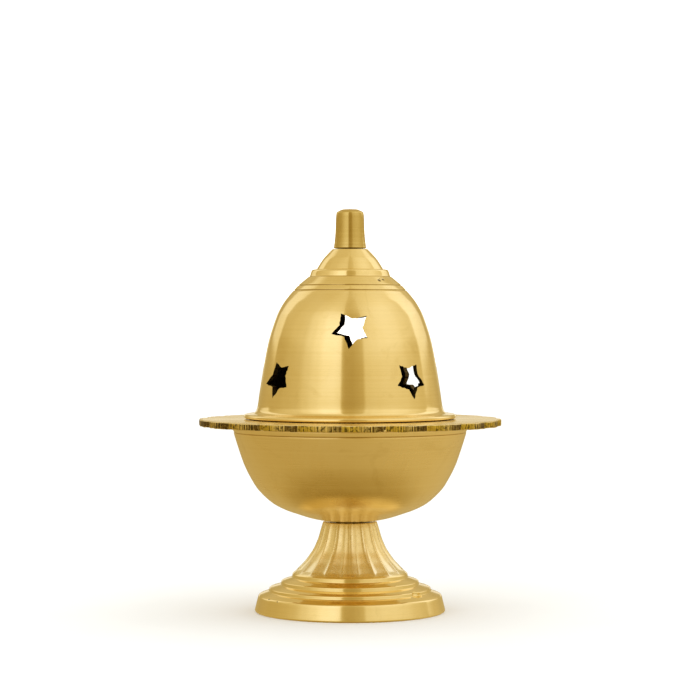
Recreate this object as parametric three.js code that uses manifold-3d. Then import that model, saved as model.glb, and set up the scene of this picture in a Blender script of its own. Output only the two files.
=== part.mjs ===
// Incense burner in turned and cast brass: a fluted foot, a scalloped bowl with its threaded stud,
// a slotted wick holder and a bell-shaped lid with star vents and a knob.
// Millimetres, +Z up. The origin is the middle of the ring that the foot stands on.
// The pieces are drawn assembled: bowl screwed to foot, holder screwed into the stud, lid resting on the bowl.

import * as THREE from 'three';
import { mergeVertices } from 'three/addons/utils/BufferGeometryUtils.js';
import Module from 'manifold-3d';

const wasm = await Module();
wasm.setup();

// ---------------------------------------------------------------- driving dimensions
// foot
const FOOT_H = 30.0;            // height of the foot, to the seat of the bowl
const FOOT_R = 31.95;           // widest radius, just above the ground ring
const FOOT_BORE_R = 4.95;       // hole that takes the stud
const FLUTES = 20;              // flutes round the waist
const FLUTE_DEEP = 0.75;        // depth of a flute near its lower end
const FLUTE_TOP = 0.50;         // depth of a flute at the top of the foot
const FLUTE_Z0 = 13.6;          // where the flutes start

// bowl
const BOWL_Z = 30.1;            // underside of the bowl floor
const FLANGE_Z = 64.5;          // top of the flange
const FLANGE_T = 2.2;           // flange thickness at the edge
const FLANGE_R = 50.75;         // radius over the lobes
const LOBES = 22;               // lobes of the scalloped edge
const NOTCH = 1.3;              // depth of the notch between two lobes
const NOTCH_AT = -3.0;          // azimuth of one notch, degrees from the front
const MOUTH_R = 33.0;           // radius of the mouth that the lid's lip drops into
const BOWL_HOLE_R = 4.0;        // hole in the bowl floor for the stud

// stud
const STUD_R = 3.9;             // shank through the bowl floor
const STUD_COLLAR_R = 4.6;      // plain collar under the bowl
const STUD_THREAD_R = 4.8;      // crest radius of the thread below
const STUD_ROOT_R = 4.05;       // root radius of the thread below
const STUD_PITCH = 1.85;
const STUD_END = 24.1;          // lower end of the stud
const STUD_BORE_R = 2.55;       // hole that takes the holder's tail

// wick holder
const HOLDER_Z = 33.5;          // shoulder that stops on the stud
const HOLDER_TAIL = 3.85;       // length of the threaded tail
const HOLDER_THREAD_R = 2.44;
const HOLDER_ROOT_R = 1.95;
const HOLDER_PITCH = 1.4;
const HOLDER_HEAD_R = 6.13;
const HOLDER_TOP = 56.8;        // rim of the hole in the head
const WICK_R = 2.4;             // hole down the head into the window
const WINDOW_W = 3.0;           // window width at the middle of the post
const WINDOW_Z0 = 37.1;
const WINDOW_Z1 = 52.5;

// lid
const LID_Z = 64.6;             // underside of the lid flange
const LID_LIP_Z = 63.06;        // lower edge of the register lip
const LID_LIP_R = 31.8;
const LID_FLANGE_R = 35.75;
const STAR_LOW_Z = 78.05;       // centres of the lower row of vents
const STAR_HIGH_Z = 94.3;       // centres of the upper row of vents
const KNOB_Z = 121.5;           // seat of the knob on the dome
const TOP_Z = 134.6;            // top of the knob

// ---------------------------------------------------------------- materials
const brass = (color, roughness) => new THREE.MeshStandardMaterial({ color, roughness, metalness: 1.0 });

// ---------------------------------------------------------------- helpers
const DEG = Math.PI / 180;
const V2 = (r, z) => new THREE.Vector2(r, z);

// drop normals and uv, share the vertices, and leave out triangles that have collapsed
function tidy(geometry) {
  const g = geometry.clone();
  g.deleteAttribute('normal');
  g.deleteAttribute('uv');
  const merged = mergeVertices(g, 1e-4);
  const idx = merged.index.array;
  const keep = [];
  for (let i = 0; i < idx.length; i += 3) {
    const [a, b, c] = [idx[i], idx[i + 1], idx[i + 2]];
    if (a !== b && b !== c && a !== c) keep.push(a, b, c);
  }
  merged.setIndex(keep);
  return merged;
}

// turned piece: a closed profile of [r, z] pairs, counter-clockwise with r to the right and z up.
// Azimuth 0 is the front (-Y) and grows towards +X.
function turned(profile, segments, startDeg = 0, shape = null) {
  const pts = profile.map(([r, z]) => V2(r, z));
  pts.push(pts[0].clone());
  const g = new THREE.LatheGeometry(pts, segments, startDeg * DEG, 2 * Math.PI);
  g.rotateX(Math.PI / 2);
  if (shape) {
    const p = g.attributes.position;
    for (let i = 0; i < p.count; i++) {
      const x = p.getX(i), y = p.getY(i), z = p.getZ(i);
      const r = Math.hypot(x, y);
      if (r < 1e-6) continue;
      const az = Math.atan2(x, -y);
      const k = shape(r, az, z) / r;
      p.setXYZ(i, x * k, y * k, z);
    }
  }
  return tidy(g);
}

function solid(geometry) {
  const g = tidy(geometry);
  const p = g.attributes.position.array;
  return new wasm.Manifold(new wasm.Mesh({
    numProp: 3,
    vertProperties: new Float32Array(p),
    triVerts: new Uint32Array(g.index.array),
  }));
}

function fromSolid(m) {
  const mesh = m.getMesh();
  const n = mesh.numProp;
  const count = mesh.vertProperties.length / n;
  const pos = new Float32Array(count * 3);
  for (let i = 0; i < count; i++) {
    pos[3 * i] = mesh.vertProperties[n * i];
    pos[3 * i + 1] = mesh.vertProperties[n * i + 1];
    pos[3 * i + 2] = mesh.vertProperties[n * i + 2];
  }
  const g = new THREE.BufferGeometry();
  g.setAttribute('position', new THREE.BufferAttribute(pos, 3));
  g.setIndex(Array.from(mesh.triVerts));
  return tidy(g);
}

const frac = (x) => x - Math.floor(x);
const clamp01 = (x) => Math.min(1, Math.max(0, x));
const group = new THREE.Group();

function add(name, geometry, material) {
  geometry.computeVertexNormals();
  const mesh = new THREE.Mesh(geometry, material);
  mesh.name = name;
  group.add(mesh);
}

// right-handed thread: crest height between 0 and 1, once per pitch
function threadWave(z, az, pitch, z0) {
  const t = frac((z - z0) / pitch - az / (2 * Math.PI));
  return 1 - Math.abs(2 * t - 1);
}

// ---------------------------------------------------------------- foot
// three stepped tiers, then a waist with concave flutes; hollow underneath
{
  const outer = [
    [28.9, 0], [31.6, 0], [FOOT_R, 0.35], [30.8, 5.0], [30.3, 5.7],
    [27.1, 6.9], [26.95, 7.95], [23.05, 9.05], [22.9, 10.25],
    [19.35, 11.45], [19.2, 12.75],
    [17.9, 14.2], [15.05, 17.0], [12.5, 20.4], [10.85, 23.8], [9.83, 27.2], [9.05, FOOT_H],
  ];
  const inner = [
    [FOOT_BORE_R, FOOT_H], [FOOT_BORE_R, 21.5], [7.9, 20.7], [11.2, 16.0], [14.5, 12.8],
    [21.0, 8.2], [28.4, 4.2], [28.9, 3.5],
  ];
  const flute = (r, az, z) => {
    if (z < FLUTE_Z0 || r < FOOT_BORE_R + 3) return r;
    if (r < 13 && z < 21) return r;                        // the hollow inside stays round
    const t = frac((az / DEG) * FLUTES / 360 + 0.5);       // ridges halfway between flute middles
    const hollow = 1 - Math.pow(Math.abs(2 * t - 1), 2.2);
    const k = clamp01((z - FLUTE_Z0) / (FOOT_H - FLUTE_Z0));
    return r - hollow * (FLUTE_DEEP + (FLUTE_TOP - FLUTE_DEEP) * k);
  };
  // three facets to a flute: one edge of the ring lies on each ridge
  add('foot', turned([...outer, ...inner], FLUTES * 3, 360 / FLUTES / 2, flute), brass(0xd9ae55, 0.26));
}

// ---------------------------------------------------------------- bowl
{
  const outer = [
    [BOWL_HOLE_R, BOWL_Z], [8.5, BOWL_Z + 0.05], [14.0, 31.45], [20.2, 33.6], [26.6, 36.8],
    [30.8, 40.85], [33.9, 45.8], [36.4, 51.7], [38.2, 57.0], [39.35, 62.3 - 0.3],
    [40.0, FLANGE_Z - FLANGE_T],
  ];
  const flange = [
    [FLANGE_R, FLANGE_Z - FLANGE_T], [FLANGE_R, FLANGE_Z], [35.0, FLANGE_Z], [33.6, FLANGE_Z - 0.5],
    [MOUTH_R, FLANGE_Z - 1.4], [MOUTH_R, 62.3], [36.3, 61.0],
  ];
  const inner = [
    [36.6, 59.0], [35.7, 55.4], [33.2, 49.4], [29.4, 43.8], [24.6, 39.1], [19.5, 36.0],
    [13.0, 33.5], [7.5, 32.4], [BOWL_HOLE_R, 32.35],
  ];
  const lobe = (r, az, z) => {
    if (r < FLANGE_R - 1) return r;
    const t = frac(((az / DEG) - NOTCH_AT) * LOBES / 360);
    return (t < 0.1 || t > 0.9) ? FLANGE_R - NOTCH : FLANGE_R;
  };
  add('bowl', turned([...outer, ...flange, ...inner], LOBES * 3, NOTCH_AT, lobe), brass(0xcf9f49, 0.3));
}

// ---------------------------------------------------------------- stud through the bowl floor
{
  const zc = BOWL_Z - 0.2;                       // top of the plain collar
  const profile = [[STUD_BORE_R, STUD_END], [STUD_ROOT_R - 0.3, STUD_END]];
  const z0 = STUD_END + 0.3, z1 = 28.3;
  const rings = 14;
  for (let i = 0; i <= rings; i++) profile.push([STUD_ROOT_R, z0 + (z1 - z0) * i / rings]);
  profile.push([STUD_COLLAR_R, z1 + 0.15], [STUD_COLLAR_R, zc], [STUD_R, zc], [STUD_R, 32.7],
    [5.5, 32.7], [5.6, 32.95], [5.0, 33.3], [STUD_BORE_R, 33.3]);
  const thread = (r, az, z) => {
    if (r < STUD_ROOT_R - 0.1 || r > STUD_ROOT_R + 0.1 || z > z1 + 0.01) return r;
    const fade = clamp01((z1 + 0.1 - z) / 0.5);
    return r + (STUD_THREAD_R - STUD_ROOT_R) * fade * threadWave(z, az, STUD_PITCH, z0);
  };
  add('bowl_stud', turned(profile, 24, 0, thread), brass(0xb07d3a, 0.42));
}

// ---------------------------------------------------------------- wick holder
// slotted post with a round head; the window goes through from front to back and is wider outside
{
  const zt = HOLDER_Z - HOLDER_TAIL;
  const profile = [[0, zt], [HOLDER_ROOT_R - 0.35, zt]];
  const z0 = zt + 0.25, z1 = HOLDER_Z - 0.1;
  const rings = 13;
  for (let i = 0; i <= rings; i++) profile.push([HOLDER_ROOT_R, z0 + (z1 - z0) * i / rings]);
  profile.push([2.75, HOLDER_Z], [4.0, HOLDER_Z + 1.6], [4.05, HOLDER_Z + 3.0], [4.6, 52.6],
    [5.6, 53.7], [HOLDER_HEAD_R, 54.2], [HOLDER_HEAD_R, 56.0], [WICK_R + 0.5, HOLDER_TOP], [0, HOLDER_TOP]);
  const thread = (r, az, z) => {
    if (r < HOLDER_ROOT_R - 0.1 || r > HOLDER_ROOT_R + 0.1 || z > HOLDER_Z - 0.05) return r;
    const fade = clamp01((HOLDER_Z - z) / 0.4);
    return r + (HOLDER_THREAD_R - HOLDER_ROOT_R) * fade * threadWave(z, az, HOLDER_PITCH, z0);
  };
  let post = solid(turned(profile, 20, 0, thread));

  // one half of the window: a round-ended slot that grows outwards
  const half = (WINDOW_Z1 - WINDOW_Z0) / 2, w = WINDOW_W / 2;
  const slot = new THREE.Shape();
  slot.moveTo(-w, -(half - w));
  slot.absarc(0, -(half - w), w, Math.PI, 2 * Math.PI, false);
  slot.lineTo(w, half - w);
  slot.absarc(0, half - w, w, 0, Math.PI, false);
  slot.closePath();
  const windowHalf = (side) => {
    const depth = 6.5;
    const g = new THREE.ExtrudeGeometry(slot, { depth, bevelEnabled: false, steps: 1, curveSegments: 5 });
    const p = g.attributes.position;
    for (let i = 0; i < p.count; i++) {
      const k = p.getZ(i) / depth;                // 0 at the middle, 1 outside
      p.setXYZ(i, p.getX(i) * (1 + 3.2 * k), p.getY(i) * (1 + 0.18 * k), p.getZ(i) - 0.05);
    }
    g.rotateX(Math.PI / 2);                       // outwards is now -Y, up is +Z
    if (side < 0) g.rotateZ(Math.PI);
    g.translate(0, 0, (WINDOW_Z0 + WINDOW_Z1) / 2);
    return solid(g);
  };
  const hole = turned([[0, 46], [WICK_R, 46], [WICK_R, HOLDER_TOP + 1], [0, HOLDER_TOP + 1]], 16);
  post = post.subtract(windowHalf(1)).subtract(windowHalf(-1)).subtract(solid(hole));
  add('wick_holder', fromSolid(post), brass(0x8a6a2c, 0.55));
}

// ---------------------------------------------------------------- lid dome
{
  const outer = [
    [29.3, LID_LIP_Z], [LID_LIP_R, LID_LIP_Z], [LID_LIP_R, LID_Z], [35.3, LID_Z], [LID_FLANGE_R, 65.05],
    [LID_FLANGE_R, 65.75], [35.3, 66.15], [32.4, 66.2], [31.2, 67.2], [30.75, 69.5],
    [29.85, 75.8], [28.85, 82.4], [27.6, 89.1], [26.9, 92.4], [25.4, 96.8], [24.3, 99.7],
    [22.9, 102.7], [21.35, 104.9], [17.1, 109.4], [13.6, 112.2], [12.8, 114.1], [11.05, 114.5],
    [9.8, 116.6], [8.2, 118.9], [5.85, KNOB_Z - 0.2],
  ];
  const inner = [
    [2.6, KNOB_Z - 0.2], [2.6, 116.2], [5.5, 115.0], [8.5, 111.6], [12.5, 109.0], [17.0, 105.8],
    [20.4, 102.3], [22.4, 99.2], [24.9, 92.3], [27.1, 82.4], [28.5, 74.0], [29.3, 67.0],
  ];
  let dome = solid(turned([...outer, ...inner], 48));

  // star vents, points given as [arc, height] from the star's centre, clockwise from the upper left
  const front = [[-3.3, 5.4], [0.5, 3.7], [5.2, 4.6], [3.6, 0.8], [5.4, -2.6], [2.1, -2.9], [-0.8, -6.2],
    [-2.3, -2.2], [-6.5, -1.3], [-3.75, 1.6]];
  const left = [[-2.0, 5.7], [1.2, 4.0], [4.8, 4.5], [3.7, 1.3], [4.9, -2.6], [1.5, -2.85], [-1.8, -6.2],
    [-2.7, -2.4], [-8.0, -1.6], [-3.5, 1.5]];
  const right = [[-4.0, 4.9], [-0.8, 3.8], [3.5, 5.1], [3.8, 1.75], [6.7, -1.8], [2.9, -2.6], [0.9, -6.3],
    [-1.2, -3.05], [-5.5, -1.9], [-3.4, 1.1]];
  const mirror = (pts) => pts.map(([a, h]) => [-a, h]).reverse();
  const stars = [
    [0.8, STAR_HIGH_Z, front], [101, STAR_HIGH_Z, mirror(right)], [175.7, STAR_HIGH_Z, mirror(front)],
    [-101, STAR_HIGH_Z, mirror(right)],
    [-53.2, STAR_LOW_Z, left], [41.8, STAR_LOW_Z, right], [129, STAR_LOW_Z, front],
    [-147, STAR_LOW_Z, mirror(left)],
  ];
  for (const [az, z, pts] of stars) {
    const wall = z > 90 ? 26.3 : 29.5;            // radius of the wall at the star
    const shape = new THREE.Shape(pts.map(([a, h]) => V2(wall * Math.sin(a / wall), h)));
    const g = new THREE.ExtrudeGeometry(shape, { depth: 18, bevelEnabled: false, steps: 1 });
    g.rotateX(Math.PI / 2);                       // outwards is now -Y, up is +Z
    g.translate(0, -17, z);
    g.rotateZ(az * DEG);
    dome = dome.subtract(solid(g));
  }
  add('lid_dome', fromSolid(dome), brass(0xd8aa50, 0.24));
}

// ---------------------------------------------------------------- lid knob
{
  const profile = [
    [0, 115.2], [2.2, 115.2], [2.5, 115.6], [2.5, KNOB_Z], [5.5, KNOB_Z], [5.15, 124.6], [4.9, 127.9],
    [4.7, 133.2], [4.2, 134.1], [3.2, TOP_Z], [0, TOP_Z],
  ];
  add('lid_knob', turned(profile, 24), brass(0xc3974a, 0.36));
}

export default group;
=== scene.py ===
import math

import bpy
import bmesh
import numpy as np
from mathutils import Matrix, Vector, noise


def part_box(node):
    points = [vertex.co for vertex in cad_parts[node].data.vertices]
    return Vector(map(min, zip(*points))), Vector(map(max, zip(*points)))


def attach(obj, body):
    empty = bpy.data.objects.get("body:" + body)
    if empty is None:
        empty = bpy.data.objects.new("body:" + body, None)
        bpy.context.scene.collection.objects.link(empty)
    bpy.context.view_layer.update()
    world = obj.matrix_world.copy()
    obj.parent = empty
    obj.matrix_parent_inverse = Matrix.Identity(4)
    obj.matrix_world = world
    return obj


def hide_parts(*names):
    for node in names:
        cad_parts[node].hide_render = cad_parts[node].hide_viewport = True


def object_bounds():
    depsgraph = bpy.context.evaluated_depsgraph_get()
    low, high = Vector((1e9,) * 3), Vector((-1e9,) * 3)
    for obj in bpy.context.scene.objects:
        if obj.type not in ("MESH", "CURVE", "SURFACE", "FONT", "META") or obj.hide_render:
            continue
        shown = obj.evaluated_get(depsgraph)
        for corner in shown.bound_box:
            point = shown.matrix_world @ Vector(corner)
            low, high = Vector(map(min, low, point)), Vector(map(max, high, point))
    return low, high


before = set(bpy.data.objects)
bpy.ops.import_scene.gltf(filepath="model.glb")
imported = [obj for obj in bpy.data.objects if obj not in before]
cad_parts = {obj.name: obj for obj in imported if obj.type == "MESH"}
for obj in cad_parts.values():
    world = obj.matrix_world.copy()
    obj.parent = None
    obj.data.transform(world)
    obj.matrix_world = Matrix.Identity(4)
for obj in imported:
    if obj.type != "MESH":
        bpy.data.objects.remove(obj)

CAD_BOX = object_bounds()
MM = 0.001
TAU = 2.0 * math.pi
DEG = math.pi / 180.0
scene = bpy.context.scene


# ------------------------------------------------------------------ places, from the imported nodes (millimetres)
def node_box(node):
    lo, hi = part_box(node)
    return lo / MM, hi / MM


FOOT_LO, FOOT_HI = node_box("foot")
BOWL_LO, BOWL_HI = node_box("bowl")
STUD_LO, STUD_HI = node_box("bowl_stud")
POST_LO, POST_HI = node_box("wick_holder")
DOME_LO, DOME_HI = node_box("lid_dome")
KNOB_LO, KNOB_HI = node_box("lid_knob")


# ------------------------------------------------------------------ profile tools
def rounded(pts, closed=True, steps=4):
    """Points (r, z) or (r, z, f): a corner with f is rounded over the length f. Returns [(r, z)]."""
    out = []
    n = len(pts)
    for i, p in enumerate(pts):
        f = p[2] if len(p) > 2 else 0.0
        if f <= 0 or (not closed and i in (0, n - 1)):
            out.append((p[0], p[1]))
            continue
        a, b = pts[i - 1], pts[(i + 1) % n]
        pa = np.array(a[:2], float) - np.array(p[:2], float)
        pb = np.array(b[:2], float) - np.array(p[:2], float)
        la, lb = np.linalg.norm(pa), np.linalg.norm(pb)
        t = min(f, 0.48 * la, 0.48 * lb)
        p0 = np.array(p[:2]) + pa / la * t
        p2 = np.array(p[:2]) + pb / lb * t
        for k in range(steps + 1):
            s = k / steps
            q = (1 - s) ** 2 * p0 + 2 * s * (1 - s) * np.array(p[:2]) + s * s * p2
            out.append((float(q[0]), float(q[1])))
    return out


def spline(pts, per=5):
    """Smooth curve through the points, per steps a span."""
    p = [np.array(q, float) for q in pts]
    p = [2 * p[0] - p[1]] + p + [2 * p[-1] - p[-2]]
    out = []
    for i in range(1, len(p) - 2):
        for k in range(per):
            t = k / per
            a, b, c, d = p[i - 1], p[i], p[i + 1], p[i + 2]
            q = 0.5 * (2 * b + (c - a) * t + (2 * a - 5 * b + 4 * c - d) * t * t + (3 * b - a - 3 * c + d) * t ** 3)
            out.append((float(q[0]), float(q[1])))
    out.append((float(p[-2][0]), float(p[-2][1])))
    return out


def refine(pts, longest, closed=True):
    """Splits every span longer than longest."""
    out = []
    n = len(pts)
    for i in range(n if closed else n - 1):
        a, b = np.array(pts[i][:2], float), np.array(pts[(i + 1) % n][:2], float)
        k = max(1, int(math.ceil(np.linalg.norm(b - a) / longest)))
        for j in range(k):
            out.append(tuple(a + (b - a) * j / k))
    if not closed:
        out.append(tuple(pts[-1][:2]))
    return out


def link(name, mesh):
    ob = bpy.data.objects.new(name, mesh)
    scene.collection.objects.link(ob)
    return ob


def lathe(name, prof, segs, warp=None, start=0.0, closed=True):
    """Turned mesh from a profile in millimetres, counter-clockwise in (r, z). Azimuth 0 is -Y, growing towards +X."""
    prof = np.array(prof, float)
    n = len(prof)
    az = start + np.arange(segs) * TAU / segs
    R = np.repeat(prof[:, 0][:, None], segs, 1)
    Z = np.repeat(prof[:, 1][:, None], segs, 1)
    A = np.repeat(az[None, :], n, 0)
    if warp is not None:
        R, Z = warp(R, A, Z)
    co = np.stack([R * np.sin(A), -R * np.cos(A), Z], -1) * MM
    verts = co.reshape(-1, 3).tolist()
    faces = []
    last = n if closed else n - 1
    top = None
    bottom = None
    if not closed and prof[0, 0] < 1e-6:
        bottom = len(verts)
        verts.append((0.0, 0.0, float(prof[0, 1]) * MM))
    if not closed and prof[-1, 0] < 1e-6:
        top = len(verts)
        verts.append((0.0, 0.0, float(prof[-1, 1]) * MM))
    for i in range(last):
        i2 = (i + 1) % n
        for j in range(segs):
            j2 = (j + 1) % segs
            a, b, c, d = i * segs + j, i * segs + j2, i2 * segs + j2, i2 * segs + j
            if bottom is not None and i == 0:
                faces.append((bottom, c, d))
            elif top is not None and i2 == n - 1:
                faces.append((a, b, top))
            else:
                faces.append((a, b, c, d))
    me = bpy.data.meshes.new(name)
    me.from_pydata(verts, [], faces)
    bm = bmesh.new()
    bm.from_mesh(me)
    loose = [v for v in bm.verts if not v.link_faces]
    bmesh.ops.delete(bm, geom=loose, context="VERTS")
    bm.to_mesh(me)
    bm.free()
    me.polygons.foreach_set("use_smooth", [True] * len(me.polygons))
    me.update()
    return link(name, me)


def coords(me):
    a = np.zeros(len(me.vertices) * 3, np.float32)
    me.vertices.foreach_get("co", a)
    return a.reshape(-1, 3).astype(float)


def set_coords(me, a):
    me.vertices.foreach_set("co", a.astype(np.float32).reshape(-1))
    me.update()


def apply_all(ob):
    """Replaces the object's mesh with what its modifiers make of it."""
    bpy.context.view_layer.update()
    dg = bpy.context.evaluated_depsgraph_get()
    me = bpy.data.meshes.new_from_object(ob.evaluated_get(dg))
    ob.modifiers.clear()
    old = ob.data
    ob.data = me
    if old.users == 0:
        bpy.data.meshes.remove(old)
    return ob


def cut(ob, cutters, solver="EXACT"):
    for c in cutters:
        m = ob.modifiers.new("cut", "BOOLEAN")
        m.operation = "DIFFERENCE"
        m.solver = solver
        m.object = c
    apply_all(ob)
    for c in cutters:
        me = c.data
        bpy.data.objects.remove(c)
        bpy.data.meshes.remove(me)
    return ob


def weighted(ob, sharp=None):
    ob.data.polygons.foreach_set("use_smooth", [True] * len(ob.data.polygons))
    if sharp is not None:
        ob.data.set_sharp_from_angle(angle=sharp * DEG)
    m = ob.modifiers.new("normals", "WEIGHTED_NORMAL")
    m.mode = "FACE_AREA_WITH_ANGLE"
    m.weight = 60
    m.keep_sharp = sharp is not None
    return ob


def smooth01(x):
    x = np.clip(x, 0.0, 1.0)
    return x * x * (3 - 2 * x)


def hash01(k):
    return (np.sin(k * 127.1 + 11.7) * 43758.5453) % 1.0


def ripple(x, seed, octaves=3):
    """Repeatable smooth 1D noise of an array, about -1 to 1."""
    total = np.zeros_like(x, dtype=float)
    amp, norm = 1.0, 0.0
    for o in range(octaves):
        i = np.floor(x)
        f = x - i
        a = hash01(i + seed * 17.0 + o * 101.0)
        b = hash01(i + 1 + seed * 17.0 + o * 101.0)
        total += amp * ((a + (b - a) * smooth01(f)) * 2 - 1)
        norm += amp
        amp *= 0.5
        x = x * 2.03
    return total / norm


# ------------------------------------------------------------------ materials
class Nodes:
    def __init__(self, name):
        self.mat = bpy.data.materials.new(name)
        self.mat.use_nodes = True
        self.nt = self.mat.node_tree
        for n in list(self.nt.nodes):
            self.nt.nodes.remove(n)
        self.out = self.nt.nodes.new("ShaderNodeOutputMaterial")
        self.bsdf = self.nt.nodes.new("ShaderNodeBsdfPrincipled")
        self.nt.links.new(self.bsdf.outputs["BSDF"], self.out.inputs["Surface"])
        tc = self.nt.nodes.new("ShaderNodeTexCoord")
        sc = self.nt.nodes.new("ShaderNodeVectorMath")
        sc.operation = "SCALE"
        sc.inputs["Scale"].default_value = 1.0 / MM
        self.link(tc.outputs["Object"], sc.inputs[0])
        self.pos = sc.outputs[0]                      # millimetres in the piece's own frame
        sep = self.nt.nodes.new("ShaderNodeSeparateXYZ")
        self.link(self.pos, sep.inputs[0])
        self.x, self.y, self.z = sep.outputs
        flat = self.nt.nodes.new("ShaderNodeCombineXYZ")
        self.link(self.x, flat.inputs[0])
        self.link(self.y, flat.inputs[1])
        ln = self.nt.nodes.new("ShaderNodeVectorMath")
        ln.operation = "LENGTH"
        self.link(flat.outputs[0], ln.inputs[0])
        self.r = ln.outputs["Value"]

    def link(self, a, b):
        self.nt.links.new(a, b)

    def put(self, socket, value):
        if isinstance(value, (int, float)):
            socket.default_value = value
        elif isinstance(value, (tuple, list)):
            socket.default_value = (*value, 1.0) if len(value) == 3 and socket.type == "RGBA" else value
        else:
            self.link(value, socket)

    def math(self, op, a, b=0.0, c=0.0, clamp=False):
        n = self.nt.nodes.new("ShaderNodeMath")
        n.operation = op
        n.use_clamp = clamp
        self.put(n.inputs[0], a)
        self.put(n.inputs[1], b)
        if len(n.inputs) > 2:
            self.put(n.inputs[2], c)
        return n.outputs[0]

    def remap(self, v, a, b, c=0.0, d=1.0, smooth=True):
        n = self.nt.nodes.new("ShaderNodeMapRange")
        n.interpolation_type = "SMOOTHSTEP" if smooth else "LINEAR"
        self.put(n.inputs["Value"], v)
        self.put(n.inputs["From Min"], a)
        self.put(n.inputs["From Max"], b)
        self.put(n.inputs["To Min"], c)
        self.put(n.inputs["To Max"], d)
        return n.outputs["Result"]

    def noise1(self, w, scale, detail=4.0, rough=0.6):
        n = self.nt.nodes.new("ShaderNodeTexNoise")
        n.noise_dimensions = "1D"
        self.put(n.inputs["W"], w)
        n.inputs["Scale"].default_value = scale
        n.inputs["Detail"].default_value = detail
        n.inputs["Roughness"].default_value = rough
        return n.outputs["Fac"] if "Fac" in n.outputs else n.outputs[0]

    def noise3(self, scale, detail=3.0, rough=0.55, stretch=(1, 1, 1), offset=(0, 0, 0), distort=0.0):
        m = self.nt.nodes.new("ShaderNodeMapping")
        m.inputs["Location"].default_value = offset
        m.inputs["Scale"].default_value = stretch
        self.link(self.pos, m.inputs["Vector"])
        n = self.nt.nodes.new("ShaderNodeTexNoise")
        n.noise_dimensions = "3D"
        self.link(m.outputs[0], n.inputs["Vector"])
        n.inputs["Scale"].default_value = scale
        n.inputs["Detail"].default_value = detail
        n.inputs["Roughness"].default_value = rough
        n.inputs["Distortion"].default_value = distort
        return n.outputs["Fac"] if "Fac" in n.outputs else n.outputs[0]

    def voronoi(self, scale, offset=(0, 0, 0)):
        m = self.nt.nodes.new("ShaderNodeMapping")
        m.inputs["Location"].default_value = offset
        self.link(self.pos, m.inputs["Vector"])
        n = self.nt.nodes.new("ShaderNodeTexVoronoi")
        n.inputs["Scale"].default_value = scale
        self.link(m.outputs[0], n.inputs["Vector"])
        return n.outputs["Distance"]

    def mix(self, fac, a, b, mode="MIX"):
        n = self.nt.nodes.new("ShaderNodeMix")
        n.data_type = "RGBA"
        n.blend_type = mode
        self.put(n.inputs[0], fac)
        self.put(n.inputs[6], a)
        self.put(n.inputs[7], b)
        return n.outputs[2]

    def bump(self, height, strength, distance, normal=None):
        n = self.nt.nodes.new("ShaderNodeBump")
        n.inputs["Strength"].default_value = strength
        n.inputs["Distance"].default_value = distance * MM
        self.put(n.inputs["Height"], height)
        if normal is not None:
            self.link(normal, n.inputs["Normal"])
        return n.outputs["Normal"]

    def spot(self, at, radius, soft=0.6):
        """1 near a point given in millimetres, 0 away from it."""
        n = self.nt.nodes.new("ShaderNodeVectorMath")
        n.operation = "DISTANCE"
        self.link(self.pos, n.inputs[0])
        n.inputs[1].default_value = at
        return self.remap(n.outputs["Value"], radius * (1 - soft), radius, 1.0, 0.0)

    def maximum(self, values):
        v = values[0]
        for w in values[1:]:
            v = self.math("MAXIMUM", v, w)
        return v

    def finish(self, color, rough, normal=None, metallic=1.0, coat=0.0, coat_rough=0.2, aniso=0.0):
        b = self.bsdf.inputs
        self.put(b["Base Color"], color)
        self.put(b["Roughness"], rough)
        self.put(b["Metallic"], metallic)
        b["Coat Weight"].default_value = coat
        b["Coat Roughness"].default_value = coat_rough
        b["Anisotropic"].default_value = aniso
        b["Anisotropic Rotation"].default_value = 0.25
        if aniso:
            t = self.nt.nodes.new("ShaderNodeTangent")
            t.direction_type = "RADIAL"
            t.axis = "Z"
            self.link(t.outputs[0], b["Tangent"])
        if normal is not None:
            self.link(normal, b["Normal"])
        return self.mat


BRASS = (0.92, 0.745, 0.36)
BRASS_DEEP = (0.83, 0.63, 0.25)
BRASS_PALE = (0.94, 0.78, 0.42)
DARK = (0.075, 0.042, 0.012)


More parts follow.
